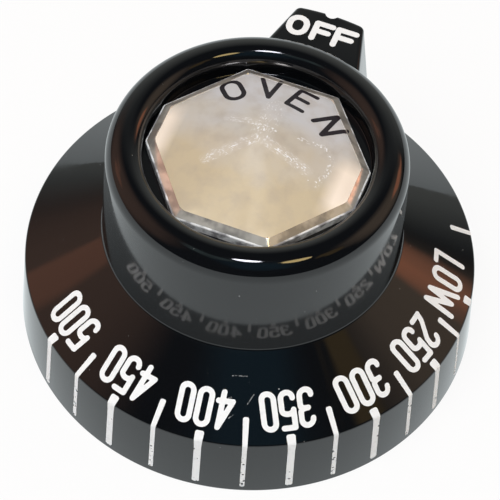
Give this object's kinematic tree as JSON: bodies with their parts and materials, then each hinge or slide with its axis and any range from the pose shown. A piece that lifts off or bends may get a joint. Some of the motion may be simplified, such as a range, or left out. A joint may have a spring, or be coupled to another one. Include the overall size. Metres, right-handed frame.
{
  "type": "oven control knob",
  "caption": "Round black oven dial knob with a conical numbered skirt, a straight grip with a rolled rim, a bright faceted insert and a raised OFF lug.",
  "frame": {"origin": "centre of the skirt's lower rim, in the plane of that rim", "axes": "+Z along the shaft, from the panel towards the hand; +Y towards the OFF lug; +X to the right with OFF at the top"},
  "size_m": [0.0636, 0.0636, 0.0364],
  "materials": {
    "black_moulding": "polished black moulding",
    "bright_insert": "bright rolled metal with fine rub marks",
    "spring_steel": "bare spring strip",
    "white_print": "white printing on the dial",
    "dark_print": "dark printing on the insert"
  },
  "bodies": {
    "root": {"knob_body": "black_moulding", "faceted_insert": "bright_insert", "shaft_spring": "spring_steel"}
  },
  "joints": []
}
